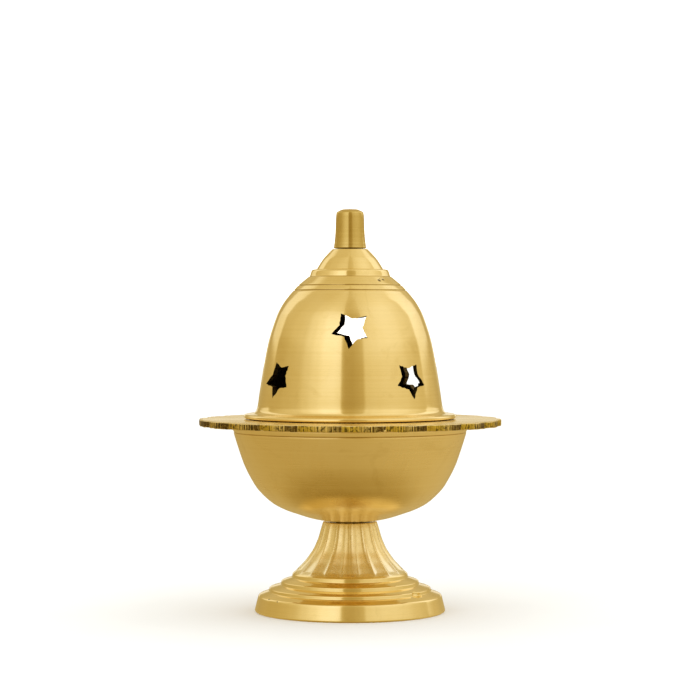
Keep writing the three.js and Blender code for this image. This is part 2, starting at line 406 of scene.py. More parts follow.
def turned_brass(name, lean, base=BRASS, deep=BRASS_DEEP, pale=BRASS_PALE, rough=0.13, lines=1.0, aniso=0.6,
                 coat=0.12, marks=(), line_scale=1.0, seed=0.0, cast_from=None, shade_below=None, shaded_grooves=()):
    """Polished brass with turning lines round the axis. lean is -1 where the piece narrows upwards, +1 where it widens."""
    n = Nodes(name)
    w = n.math("ADD", n.z, n.math("MULTIPLY", n.r, 0.7 * lean))
    w = n.math("ADD", w, 40.0 + seed)
    fine = n.noise1(w, 5.5 * line_scale, 5.0, 0.7)
    coarse = n.noise1(w, 0.9 * line_scale, 3.0, 0.6)
    broken = n.noise3(0.16, 2.0, 0.5, offset=(3 + seed, 1, 2))
    smudge = n.noise3(0.055, 3.0, 0.6, offset=(7, 9 + seed, 4), distort=0.6)
    speck = n.noise3(1.9, 3.0, 0.6, offset=(1, 5, 2 + seed))
    lines_h = n.math("MULTIPLY", n.math("SUBTRACT", fine, 0.5), n.remap(broken, 0.3, 0.75, 0.45, 1.0))
    height = n.math("ADD", lines_h, n.math("MULTIPLY", n.math("SUBTRACT", coarse, 0.5), 1.6))
    height = n.math("ADD", height, n.math("MULTIPLY", speck, 0.10))
    nm = n.bump(height, 0.30 * lines, 0.0028)
    col = n.mix(n.remap(coarse, 0.30, 0.72, 0.0, 0.30), base, deep)
    col = n.mix(n.remap(smudge, 0.42, 0.66, 0.0, 0.40), col, pale)
    col = n.mix(n.remap(fine, 0.50, 0.80, 0.0, 0.30), col, deep)
    rg = n.math("ADD", rough, n.math("MULTIPLY", n.math("SUBTRACT", smudge, 0.5), 0.16))
    rg = n.math("ADD", rg, n.math("MULTIPLY", n.math("SUBTRACT", fine, 0.5), 0.10))
    stain = n.noise3(0.085, 4.0, 0.62, offset=(11 + seed, 2, 6), distort=1.6)
    col = n.mix(n.remap(stain, 0.54, 0.72, 0.0, 0.30), col, tuple(0.90 * c for c in deep))
    if cast_from is not None:                                       # unpolished casting above this height
        skin = n.remap(n.z, cast_from - 0.4, cast_from + 0.5)
        pit = n.noise3(1.5, 4.0, 0.65, offset=(8, 8, 2))
        grain = n.noise3(4.2, 3.0, 0.6, offset=(3, 1, 2))
        rg = n.math("ADD", rg, n.math("MULTIPLY", skin, 0.17))
        rg = n.math("ADD", rg, n.math("MULTIPLY", skin, n.remap(pit, 0.45, 0.75, 0.0, 0.10)))
        col = n.mix(n.math("MULTIPLY", skin, 0.6), col, (0.95, 0.80, 0.47))
        # painted light: the foot of the flutes is paled to offset the dark reflection of the bowl above
        flute_foot_painted_light = n.math("MULTIPLY", skin, n.remap(n.z, cast_from + 1.5, cast_from + 6.5, 0.75, 0.0))
        col = n.mix(flute_foot_painted_light, col, (0.97, 0.90, 0.70))
        col = n.mix(n.math("MULTIPLY", skin, n.remap(pit, 0.60, 0.76, 0.0, 0.40)), col, (0.60, 0.43, 0.14))
        nm = n.bump(n.math("MULTIPLY", skin, n.math("ADD", n.math("MULTIPLY", pit, 1.4), grain)), 0.5, 0.020, nm)
    # painted shade: below this height the lip under the lid's flange is darkened to olive brown and made rougher
    if shade_below is not None:
        low = n.remap(n.math("ADD", n.z, n.math("MULTIPLY", n.math("SUBTRACT", smudge, 0.5), 0.25)), shade_below - 0.12, shade_below + 0.05, 1.0, 0.0)
        col = n.mix(n.math("MULTIPLY", low, 0.85), col, (0.28, 0.19, 0.020))
        rg = n.math("ADD", rg, n.math("MULTIPLY", low, 0.2))
    for gz, gw in shaded_grooves:                                           # painted shade: darker lines along the turned grooves
        d = n.math("ABSOLUTE", n.math("SUBTRACT", n.z, gz))
        g = n.math("MULTIPLY", n.remap(d, gw * 0.3, gw, 1.0, 0.0), n.remap(broken, 0.25, 0.6, 0.35, 0.8))
        col = n.mix(g, col, (0.36, 0.23, 0.06))
    if marks:
        m = n.maximum([n.spot(at, rad) for at, rad in marks])
        col = n.mix(n.math("MULTIPLY", m, 0.85), col, DARK)
        rg = n.math("ADD", rg, n.math("MULTIPLY", m, 0.35))
    return n.finish(col, rg, nm, coat=coat, aniso=aniso)


def dark_oxide_and_shade(name, base=(0.022, 0.0085, 0.0022), streak=(0.055, 0.024, 0.006)):
    """The unpolished inside: dark brown oxide with a few lighter rings, made near black as painted shade of the unlit
    hollow.
    """
    n = Nodes(name)
    rings = n.noise1(n.math("ADD", n.z, 60.0), 1.3, 4.0, 0.65)
    cloud = n.noise3(0.22, 4.0, 0.6, offset=(2, 3, 4))
    col = n.mix(n.remap(n.math("ADD", rings, n.math("MULTIPLY", cloud, 0.6)), 0.72, 1.05), base, streak)
    rough_h = n.noise3(2.2, 4.0, 0.65)
    nm = n.bump(rough_h, 0.5, 0.05)
    n.bsdf.inputs["Specular IOR Level"].default_value = 0.12
    return n.finish(col, n.remap(cloud, 0.3, 0.7, 0.50, 0.78), nm, metallic=0.5)


# ------------------------------------------------------------------ camera
cam_data = bpy.data.cameras.new("camera")
cam = bpy.data.objects.new("camera", cam_data)
scene.collection.objects.link(cam)
cam_data.sensor_fit = "HORIZONTAL"
cam_data.sensor_width = 36.0
cam_data.lens = 118.2
cam_data.clip_start = 0.02
cam_data.clip_end = 60.0
cam.location = (0.0, -0.770, 0.098)
cam.rotation_euler = (Vector((0.0, 0.0, 0.0875)) - Vector(cam.location)).to_track_quat("-Z", "Y").to_euler()
scene.camera = cam


# ------------------------------------------------------------------ foot
FOOT_TOP = FOOT_HI.z
FLUTES = 20
dents = [  # azimuth (deg), height, size, depth: small knocks on the tiers
    (53.0, 7.2, 2.3, 1.25), (57.5, 6.8, 1.5, 0.6), (-61.5, 5.6, 0.6, 0.2), (-51.0, 5.35, 0.5, 0.18),
    (160.0, 6.4, 1.0, 0.18), (214.0, 9.9, 0.8, 0.14),
]


def surface_point(prof, az_deg, z):
    """Point on a turned profile at a height, in millimetres."""
    best = min(prof, key=lambda p: abs(p[1] - z) - 0.02 * p[0])
    a = az_deg * DEG
    return (best[0] * math.sin(a), -best[0] * math.cos(a), best[1])


def foot_piece():
    tiers = rounded([
        (28.9, 0.0, 0.3), (31.5, 0.0, 0.25), (31.93, 0.45, 0.35), (31.25, 3.2), (30.72, 5.35, 0.25), (30.3, 5.72, 0.25),
        (27.2, 6.85, 0.12), (27.05, 7.8, 0.14), (26.75, 8.05, 0.16), (23.15, 9.0, 0.10), (23.03, 10.1, 0.14),
        (22.7, 10.35, 0.16), (19.45, 11.45, 0.10), (19.27, 12.6, 0.14), (18.95, 12.95, 0.14),
    ], closed=False, steps=5)
    waist = spline([(18.5, 13.3), (17.9, 13.95), (16.45, 15.45), (15.05, 16.95), (13.95, 18.45), (12.5, 20.6),
                    (11.5, 22.7), (10.75, 24.6), (10.1, 26.8), (9.65, 28.4), (9.2, FOOT_TOP - 0.25)], 6)
    top = rounded([(9.1, FOOT_TOP - 0.05, 0.1), (8.7, FOOT_TOP, 0.2), (6.2, FOOT_TOP - 0.12, 0.3), (4.97, FOOT_TOP - 0.3, 0.2)],
                  closed=False, steps=3)
    bore = [(4.97, FOOT_TOP - 0.6 - 0.3 * k) for k in range(27)]
    under = spline([(5.0, 21.6), (6.2, 21.4), (7.9, 20.6), (9.6, 18.4), (11.2, 16.1), (14.5, 12.9), (17.6, 10.6), (21.0, 8.2),
                    (25.0, 6.0), (28.2, 4.2)], 3) + [(28.75, 3.6), (28.9, 3.0)]
    outer = refine(tiers, 0.55, closed=False)
    prof = outer + waist + refine(top, 0.6, closed=False) + bore + refine(under, 1.2, closed=False)[0:] + [(28.9, 1.5)]
    marks_at = [surface_point(outer, a, z) for a, z, s, d in dents]

    def warp(R, A, Z):
        t = (A / TAU * FLUTES + 0.5) % 1.0
        u = np.abs(2 * t - 1)                              # 1 on a ridge, 0 in the middle of a flute
        hollow = 1 - np.power(u, 2.6)
        hollow = hollow * smooth01((1.0 - u) / 0.16 + 0.15)
        k = np.clip((Z - 13.4) / (FOOT_TOP - 13.4), 0, 1)
        deep = (0.80 + (0.50 - 0.80) * k) * smooth01((Z - 13.15) / 1.1)
        uneven = 1 + 0.12 * ripple(A / TAU * FLUTES + 3.0, 5.0, 1)
        outside = (Z > 13.1) & (R > 8.6) & ~((Z < 21.0) & (R < 12.3))
        R2 = R - np.where(outside, hollow * deep * uneven, 0.0)
        # cast skin: slight waves along the flutes
        wave = 0.035 * ripple(Z * 0.55 + np.sin(A * 3) * 2.0, 2.0, 2) * ripple(A * 9.0 + Z * 0.2, 4.0, 2)
        R2 = R2 - np.where(outside, 0.03 + wave, 0.0) * smooth01((Z - 13.3) / 0.8)
        # screw thread in the bore
        in_bore = (R < 5.1) & (Z > 21.9) & (Z < FOOT_TOP - 0.7)
        ph = ((Z - 20.0) / 1.85 - A / TAU) % 1.0
        R2 = R2 + np.where(in_bore, 0.42 * (1 - np.abs(2 * ph - 1)), 0.0)
        # knocks
        for (a, z, s, d), (mx, my, mz) in zip(dents, marks_at):
            X, Y = R2 * np.sin(A), -R2 * np.cos(A)
            dist = np.sqrt((X - mx) ** 2 + (Y - my) ** 2 + ((Z - mz) * 1.25) ** 2)
            R2 = R2 - np.where(R > 20.0, d * smooth01(1 - dist / s), 0.0) * (Z > 4.5)
        return R2, Z

    ob = lathe("foot_body", prof, FLUTES * 18, warp)
    weighted(ob)
    marks = [(m, s * 0.75) for (a, z, s, d), m in zip(dents[2:4], marks_at[2:4])]
    mat = turned_brass("foot_polished", -1, rough=0.10, lines=0.8, coat=0.14, marks=marks, seed=1.3, cast_from=13.1)
    ob.data.materials.append(mat)
    return ob, "base"


# ------------------------------------------------------------------ bowl
LOBES = 22
NOTCH_AT = -3.0


def bowl_piece():
    zb, zt = BOWL_LO.z, BOWL_HI.z
    outer = [(4.0, zb + 0.05), (4.6, zb)] + spline([
        (7.0, zb + 0.05), (11.0, zb + 0.72), (14.3, zb + 1.5), (18.0, zb + 2.72), (22.2, zb + 4.25), (26.4, zb + 6.6),
        (30.7, zb + 10.7), (33.3, zb + 14.75), (35.35, zb + 18.9), (36.8, zb + 22.9), (38.1, zb + 26.9), (38.85, 59.5)], 7)
    groove = rounded([(38.95, 59.95, 0.1), (38.72, 60.12, 0.12), (38.98, 60.32, 0.12), (39.3, 61.5, 0.2), (39.25, 61.85, 0.1),
                      (39.55, 62.05, 0.15), (41.2, zt - 2.2, 0.5)], closed=False, steps=3)
    rim = rounded([(50.55, zt - 2.2, 0.16), (50.75, zt - 2.0), (50.75, zt - 0.2), (50.5, zt, 0.16)], closed=False, steps=3)
    top = rounded([(44.0, zt - 0.03), (38.0, zt - 0.02), (35.0, zt - 0.02, 1.0), (33.6, zt - 0.55, 0.8), (33.05, zt - 1.5, 0.8),
                   (33.0, zt - 2.3, 0.3), (35.9, 61.1, 0.7)], closed=False, steps=4)
    inner = spline([(36.45, 59.6), (36.2, 57.6), (35.6, 55.3), (34.6, 52.2), (33.1, 49.3), (31.4, 46.4), (29.3, 43.7), (26.9, 41.1),
                    (24.4, 38.95), (21.9, 37.2), (19.3, 35.85), (16.3, 34.55), (12.9, 33.45), (9.5, 32.7), (6.0, 32.4)], 4)
    prof = (outer + groove + refine([groove[-1]] + rim, 0.8, closed=False)[1:] + refine([rim[-1]] + top, 0.9, closed=False)[1:]
            + inner + [(4.0, 32.36)])

    def warp(R, A, Z):
        t = ((A / DEG - NOTCH_AT) * LOBES / 360.0)
        lobe = np.floor(t)
        u = (t - lobe) * 2 - 1                                       # -1 to 1 across a lobe
        k = 0.93
        arc = (1 - np.sqrt(1 - (k * u) ** 2)) / (1 - math.sqrt(1 - k * k))
        size = 1.0 + 0.10 * (hash01(lobe % LOBES + 3.0) - 0.5)
        inset = 1.35 * arc * size + 0.10 * hash01(lobe % LOBES + 9.0)
        # filing marks run up and down the edge
        file_marks = 0.030 * ripple(A * 160.0, 7.0, 2) + 0.02 * ripple(A * 60.0 + Z * 0.4, 8.0, 2)
        w = np.clip((R - 46.5) / (50.75 - 46.5), 0, 1)
        burr = np.clip(ripple(A * 38.0, 21.0, 3), 0, 1) * np.where(np.abs(u) > 0.6, 1.0, 0.35)
        low = (R > 50.4) & (Z < zt - 1.2)
        high = (R > 50.4) & (Z > zt - 0.6)
        chip = np.clip(ripple(A * 31.0, 29.0, 3) - 0.05, 0, 1)
        R2 = (R - w * inset - np.where(R > 50.4, 0.03 + file_marks, 0.0) - np.where(low, 0.38 * burr, 0.0)
              - np.where(high, 0.30 * chip, 0.0))
        # the plate is slightly wavy, as a spun and filed rim is
        Z2 = Z - np.where(R > 41.0, 0.05 * (1 + np.sin(A * 2 + 0.8)) * np.clip((R - 41.0) / 9.0, 0, 1), 0.0)
        Z2 = np.where((Z < zt - 1.0) & (R > 41.0), np.maximum(Z2, zt - 2.2 - 0.06), Z2)
        Z2 = Z2 + np.where(low, 0.34 * burr - 0.16 * np.clip(ripple(A * 25.0, 23.0, 3), 0, 1), 0.0)
        Z2 = Z2 - np.where(high, 0.22 * chip, 0.0)
        return R2, Z2

    ob = lathe("bowl_body", prof, LOBES * 18, warp, start=NOTCH_AT * DEG)
    weighted(ob)
    outer_mat = turned_brass("bowl_polished", 1, base=(0.92, 0.735, 0.36), rough=0.29, aniso=0.3, lines=0.6, coat=0.12, seed=4.1,
                             shaded_grooves=((60.12, 0.12),))
    # paler, smoother copy of the brass for the inside and the rim top: painted light
    inside = turned_brass("bowl_inside_and_top_painted_light", 1, base=(0.94, 0.79, 0.46), deep=(0.90, 0.72, 0.38), rough=0.22, lines=1.0, coat=0.08, seed=6.4)

    # filed edge: each lobe runs from smooth gold through brushed to dark
    n = Nodes("bowl_edge")
    az = n.math("ARCTAN2", n.x, n.math("MULTIPLY", n.y, -1.0))
    lobes = n.math("MULTIPLY", n.math("SUBTRACT", az, NOTCH_AT * DEG), LOBES / TAU)
    t = n.math("FRACT", n.math("ADD", lobes, 50.0))
    which = n.math("FLOOR", n.math("ADD", lobes, 50.0))
    vary = n.noise1(which, 3.7, 0.0)
    strip = n.noise1(n.math("MULTIPLY", az, 50.75), 2.1, 4.0, 0.75)
    blotch = n.noise3(0.9, 4.0, 0.6, offset=(4, 4, 4))
    edge = n.math("ADD", t, n.math("MULTIPLY", n.math("SUBTRACT", vary, 0.5), 0.9))
    dark = n.remap(n.math("ADD", edge, n.math("MULTIPLY", n.math("SUBTRACT", strip, 0.5), 2.3)), 0.47, 0.66)
    dark = n.math("MULTIPLY", dark, n.remap(n.noise3(1.7, 4.0, 0.7, offset=(9, 2, 1)), 0.32, 0.50, 0.50, 1.0))
    end = n.remap(t, 0.985, 1.0, 1.0, 0.0)
    dark = n.math("MULTIPLY", dark, end)
    brushed = n.remap(n.math("ADD", t, n.math("MULTIPLY", n.math("SUBTRACT", strip, 0.5), 0.5)), 0.25, 0.5)
    col = n.mix(brushed, (0.70, 0.50, 0.070), (0.84, 0.64, 0.21))
    col = n.mix(n.remap(strip, 0.44, 0.60, 0.0, 0.80), col, (0.31, 0.195, 0.022))
    col = n.mix(n.math("MULTIPLY", dark, 0.95), col, (0.105, 0.055, 0.006))
    gouge = n.remap(n.math("ADD", blotch, n.math("MULTIPLY", strip, 0.35)), 0.68, 0.80, 0.0, 0.85)
    col = n.mix(gouge, col, (0.050, 0.032, 0.004))
    nm = n.bump(n.math("ADD", strip, n.math("MULTIPLY", blotch, 0.8)), 0.8, 0.16)
    n.bsdf.inputs["Specular IOR Level"].default_value = 0.15
    edge_mat = n.finish(col, n.remap(strip, 0.3, 0.7, 0.30, 0.52), nm, metallic=n.remap(n.math("MAXIMUM", dark, gouge), 0.0, 1.0, 1.0, 0.95))
    for m in (outer_mat, inside, edge_mat):
        ob.data.materials.append(m)
    co = coords(ob.data)
    rr = np.hypot(co[:, 0], co[:, 1]) / MM
    for p in ob.data.polygons:
        r = float(np.mean(rr[list(p.vertices)]))
        z = p.center.z / MM
        nrm = p.normal
        radial = (nrm.x * p.center.x + nrm.y * p.center.y) / max(1e-9, r * MM)
        if r > 48.0 and radial > 0.75:
            p.material_index = 2
        elif r < 36.7 and z > zb + 2.0 and (radial < 0.0 or nrm.z > 0.5) and z < zt - 1.9:
            p.material_index = 1
        # the upward-facing rim top takes the paler copy too: painted light
        elif z > zt - 2.0 and nrm.z > 0.3:
            p.material_index = 1
    return ob, "bowl_body"


# ------------------------------------------------------------------ stud
def stud_piece():
    z0, z1 = STUD_LO.z, STUD_HI.z
    top_thread = 28.3
    prof = [(2.62, z0), (3.4, z0)]
    n = 88
    prof += [(4.02, z0 + 0.12 + (top_thread - z0 - 0.12) * i / n) for i in range(n + 1)]
    prof += rounded([(4.05, top_thread + 0.05), (4.55, top_thread + 0.2, 0.12), (4.58, BOWL_LO.z - 0.25, 0.12), (3.88, BOWL_LO.z - 0.22),
                     (3.88, 32.72), (5.35, 32.72, 0.15), (5.56, 32.95, 0.15), (5.0, z1 - 0.02, 0.3), (3.0, z1), (2.62, z1 - 0.3, 0.2)],
                    closed=False, steps=3)
    bore = [(2.62, z1 - 0.6 - (z1 - z0 - 1.2) * i / 40) for i in range(41)]
    prof += bore

    def warp(R, A, Z):
        th = (R > 3.95) & (R < 4.06) & (Z < top_thread + 0.02) & (Z > z0 + 0.05)
        ph = ((Z - z0 - 0.25) / 1.85 - A / TAU) % 1.0
        tri = 1 - np.abs(2 * ph - 1)
        crest = smooth01(np.clip(tri * 1.35 - 0.12, 0, 1))
        fade = smooth01((top_thread - Z) / 0.45) * smooth01((Z - z0 + 0.25) / 0.6)
        worn = 1 + 0.10 * ripple(A * 3.0 + Z, 3.0, 2)
        R2 = R + np.where(th, 0.74 * crest * fade * np.clip(worn, 0, 1.0), 0.0)
        inb = (R < 2.65) & (Z > z0 + 0.4) & (Z < z1 - 0.5)
        ph2 = ((Z - 30.0) / 1.4 - A / TAU) % 1.0
        R2 = R2 + np.where(inb, 0.36 * (1 - np.abs(2 * ph2 - 1)), 0.0)
        return R2, Z

    ob = lathe("stud_body", prof, 120, warp)
    weighted(ob)
    n = Nodes("stud_brass")
    grime = n.noise3(0.8, 4.0, 0.65, offset=(3, 3, 3))
    root = n.math("MULTIPLY", n.remap(n.r, 4.15, 4.62, 1.0, 0.0), n.remap(n.z, top_thread - 0.1, top_thread + 0.1, 1.0, 0.0))
    col = n.mix(n.remap(grime, 0.35, 0.7), (0.70, 0.47, 0.17), (0.46, 0.30, 0.085))
    col = n.mix(n.math("MULTIPLY", root, 0.92), col, (0.065, 0.036, 0.007))
    nm = n.bump(n.noise3(3.0, 4.0, 0.6), 0.35, 0.05)
    n.bsdf.inputs["Specular IOR Level"].default_value = 0.2
    mat = n.finish(col, n.remap(grime, 0.3, 0.7, 0.26, 0.45), nm, coat=0.03)
    ob.data.materials.append(mat)
    return ob, "bowl_body"


# ------------------------------------------------------------------ wick holder
def prism(name, outline, origin, right, up, out, near, far, near_scale=1.0, far_scale=1.0):
    """Closed prism of an outline in the (right, up) plane, from near to far along out, in millimetres."""
    n = len(outline)
    verts = []
    for d, s in ((near, near_scale), (far, far_scale)):
        sx, sy = (s, s) if isinstance(s, (int, float)) else s
        for a, h in outline:
            p = origin + right * (a * sx) + up * (h * sy) + out * d
            verts.append(tuple(p * MM))
    faces = [tuple(range(n)), tuple(range(2 * n - 1, n - 1, -1))]
    for i in range(n):
        j = (i + 1) % n
        faces.append((i, n + i, n + j, j))
    me = bpy.data.meshes.new(name)
    me.from_pydata(verts, [], faces)
    bm = bmesh.new()
    bm.from_mesh(me)
    bmesh.ops.recalc_face_normals(bm, faces=bm.faces)
    bm.to_mesh(me)
    bm.free()
    return link(name, me)


def holder_piece():
    zb, zt = POST_LO.z, POST_HI.z
    sh = zb + 3.85                                     # shoulder
    n = 70
    prof = [(0.0, zb), (1.5, zb)]
    prof += [(1.93, zb + 0.2 + (3.55) * i / n) for i in range(n + 1)]
    prof += rounded([(2.45, sh, 0.2), (2.75, sh + 0.25), (3.75, sh + 1.45, 0.3), (4.0, sh + 1.75, 0.3), (4.05, sh + 3.0), (4.28, sh + 10.0),
                     (4.5, zt - 4.3, 0.5), (5.1, zt - 3.5, 0.35), (6.02, zt - 2.85, 0.2), (6.1, zt - 1.0, 0.3), (5.7, zt - 0.72, 0.2),
                     (3.3, zt - 0.05, 0.3)], closed=False, steps=4)
    prof += [(2.2, zt - 0.02), (0.0, zt - 0.02)]
    prof = refine(prof, 0.7, closed=False)

    def warp(R, A, Z):
        th = (R > 1.9) & (R < 1.95) & (Z < sh - 0.05) & (Z > zb + 0.15)
        ph = ((Z - zb) / 1.4 - A / TAU) % 1.0
        tri = 1 - np.abs(2 * ph - 1)
        crest = smooth01(np.clip(tri * 1.3 - 0.1, 0, 1))
        chip = 1 - 0.45 * np.clip(ripple(A * 2.2 + Z * 1.3, 13.0, 2), 0, 1)
        R2 = R + np.where(th, 0.50 * crest * smooth01((Z - zb + 0.2) / 0.5) * chip, 0.0)
        return R2, Z

    ob = lathe("holder_post", prof, 96, warp, closed=False)

    # window: rounded slot, wider outside, and the wick hole down through the head
    w, z_lo, z_hi = 1.12, sh + 3.75, zt - 4.05
    half = (z_hi - z_lo) / 2 - w
    outline = [(w * 0.92 * math.cos(a), -half + w * 1.5 + w * 2.5 * math.sin(a)) for a in np.linspace(-math.pi, 0, 15)]
    outline += [(w * 1.10 * math.cos(a), half + w * math.sin(a)) for a in np.linspace(0, math.pi, 15)]
    mid = Vector((0, 0, (z_lo + z_hi) / 2))
    up = Vector((0, 0, 1))
    cutters = []
    for side in (1, -1):
        cutters.append(prism("slot_%d" % side, outline, mid, Vector((side, 0, 0)), up, Vector((0, -side, 0)), -0.1, 5.6,
                             1.0, (4.4, 1.22)))
    hole = lathe("hole", [(0, zt - 6.0), (1.0, zt - 6.0), (1.05, zt - 4.0), (2.2, zt - 3.0), (2.38, zt - 0.5), (2.62, zt + 0.6), (0, zt + 0.6)], 48, closed=False)
    cutters.append(hole)
    cut(ob, cutters)
    rm = ob.modifiers.new("remesh", "REMESH")
    rm.mode = "VOXEL"
    rm.voxel_size = 0.15 * MM
    rm.use_smooth_shade = True
    apply_all(ob)
    me = ob.data
    co = coords(me) / MM
    nrm = np.zeros(len(me.vertices) * 3, np.float32)
    me.vertices.foreach_get("normal", nrm)
    nrm = nrm.reshape(-1, 3)
    r = np.hypot(co[:, 0], co[:, 1])
    out_r = np.interp(co[:, 2], [zb, sh, sh + 1.7, sh + 3, zt - 4.6, zt - 3.1, zt - 2.7, zt], [2.4, 2.6, 3.9, 4.05, 4.5, 5.5, 6.08, 6.0])
    deep = smooth01((out_r - r - 0.10) / 0.4) * (co[:, 2] > sh + 1.2) * (co[:, 2] < zt - 1.2)
    push = np.zeros(len(co))
    for i, c in enumerate(co):
        v = Vector(c)
        a = noise.noise(v * 1.15 + Vector((5, 5, 5)))
        b = noise.noise(v * 3.1 + Vector((1, 2, 3))) + 0.5 * noise.noise(v * 6.5 + Vector((4, 2, 7)))
        d = deep[i]
        push[i] = d * (0.26 * a + 0.20 * b - 0.02) + (1 - d) * (0.06 * a + 0.055 * b - 0.09)
    co = co + nrm * push[:, None]
    lo, hi = np.array(POST_LO), np.array(POST_HI)
    co = np.clip(co, lo, hi)
    set_coords(me, co * MM)
    me.polygons.foreach_set("use_smooth", [True] * len(me.polygons))

    n = Nodes("holder_cast")
    bound = n.math("ADD", n.math("MULTIPLY", n.math("SUBTRACT", n.z, sh + 3.0), 0.031), 4.05)
    under = n.math("SUBTRACT", bound, n.r)                              # how far below the outer skin
    lump = n.noise3(0.55, 5.0, 0.65, offset=(6, 1, 4))
    fine = n.noise3(2.6, 4.0, 0.65, offset=(1, 8, 4))
    recess = n.remap(n.math("ADD", under, n.math("MULTIPLY", n.math("SUBTRACT", lump, 0.5), 0.5)), 0.12, 0.42)
    in_post = n.math("MULTIPLY", n.remap(n.z, sh + 2.2, sh + 3.2), n.remap(n.z, zt - 3.2, zt - 2.9, 1.0, 0.0))
    recess = n.math("MULTIPLY", recess, in_post)
    # dark bands: under the head, and round the cone above the thread
    neck = n.math("MULTIPLY", n.remap(n.z, zt - 5.0, zt - 3.9), n.remap(n.z, zt - 2.75, zt - 2.5, 1.0, 0.0))
    cone = n.math("MULTIPLY", n.remap(n.z, sh - 0.2, sh + 0.3), n.remap(n.math("ADD", n.z, lump), sh + 2.0, sh + 2.5, 1.0, 0.0))
    dark = n.math("MAXIMUM", recess, n.math("MULTIPLY", n.math("MAXIMUM", neck, cone), 0.85))
    gold = n.mix(n.remap(lump, 0.35, 0.7), (0.86, 0.66, 0.26), (0.52, 0.38, 0.11))
    gold = n.mix(n.remap(fine, 0.50, 0.66, 0.0, 0.80), gold, (0.20, 0.135, 0.022))
    thread = n.remap(n.z, sh - 0.4, sh - 0.1, 1.0, 0.0)
    gold = n.mix(n.math("MULTIPLY", thread, 0.6), gold, (0.62, 0.42, 0.12))
    gold = n.mix(n.math("MULTIPLY", thread, n.remap(n.r, 2.0, 2.3, 0.85, 0.0)), gold, (0.08, 0.045, 0.008))
    # darker colour where the surface lies below the outer skin, in the bands under the head and round the cone, and
    # down the hole
    recess_colour = n.mix(n.remap(lump, 0.3, 0.72), (0.045, 0.030, 0.004), (0.18, 0.125, 0.020))
    recess_colour = n.mix(n.remap(fine, 0.48, 0.66, 0.0, 0.9), recess_colour, (0.42, 0.30, 0.065))
    bored = n.math("MULTIPLY", n.remap(n.r, 2.3, 2.6, 1.0, 0.0), n.remap(n.z, zt - 4.2, zt - 3.8))
    recess_colour = n.mix(bored, recess_colour, (0.030, 0.019, 0.003))
    dark = n.math("MAXIMUM", dark, bored)
    col = n.mix(dark, gold, recess_colour)
    n.bsdf.inputs["Specular IOR Level"].default_value = 0.15
    nm = n.bump(n.math("ADD", n.math("MULTIPLY", lump, 0.8), fine), 0.8, 0.14)
    rough = n.math("ADD", n.math("MULTIPLY", dark, 0.22), n.remap(fine, 0.3, 0.7, 0.30, 0.42))
    mat = n.finish(col, rough, nm, metallic=n.remap(dark, 0.0, 1.0, 1.0, 0.7), coat=0.03)
    me.materials.clear()
    me.materials.append(mat)
    return ob, "holder"


# ------------------------------------------------------------------ lid
STAR_A = [(-9.9, 16.2), (1.6, 11.1), (15.4, 13.8), (10.8, 2.3), (16.1, -7.7), (6.2, -8.8), (-2.4, -18.4), (-6.8, -6.5), (-19.3, -3.8),
          (-11.2, 4.8)]
STAR_B = [(-5.9, 17.0), (3.5, 11.9), (14.3, 13.5), (11.0, 3.9), (14.7, -7.3), (4.5, -8.5), (-5.3, -18.4), (-8.0, -7.3), (-23.9, -4.7),
          (-10.4, 4.5)]
STAR_C = [(-11.9, 14.5), (-2.3, 11.3), (10.5, 15.1), (11.3, 5.2), (20.1, -5.3), (8.6, -7.8), (2.7, -18.8), (-3.5, -9.1), (-16.5, -5.6),
          (-10.2, 3.3)]


def flip(star):
    return [(-a, h) for a, h in star][::-1]


HIGH, LOW = 94.3, 78.05
STARS = [(0.8, HIGH, STAR_A), (101.0, HIGH, flip(STAR_C)), (175.7, HIGH, flip(STAR_A)), (-101.0, HIGH, flip(STAR_C)),
         (-53.2, LOW, STAR_B), (41.8, LOW, STAR_C), (129.0, LOW, STAR_A), (-147.0, LOW, flip(STAR_B))]
UNIT = 0.335


def jag(outline, seed, wobble=0.10):
    """Breaks the straight edges of a hand-cut star into short, slightly uneven lengths."""
    out = []
    n = len(outline)
    for i in range(n):
        a, b = np.array(outline[i], float), np.array(outline[(i + 1) % n], float)
        d = b - a
        side = np.array([-d[1], d[0]]) / np.linalg.norm(d)
        steps = 5
        for k in range(steps):
            t = k / steps
            q = a + d * t
            if k:
                q = q + side * wobble * (2 * float(hash01(np.float64(seed * 31 + i * 7 + k))) - 1)
            out.append((float(q[0]), float(q[1])))
    return out


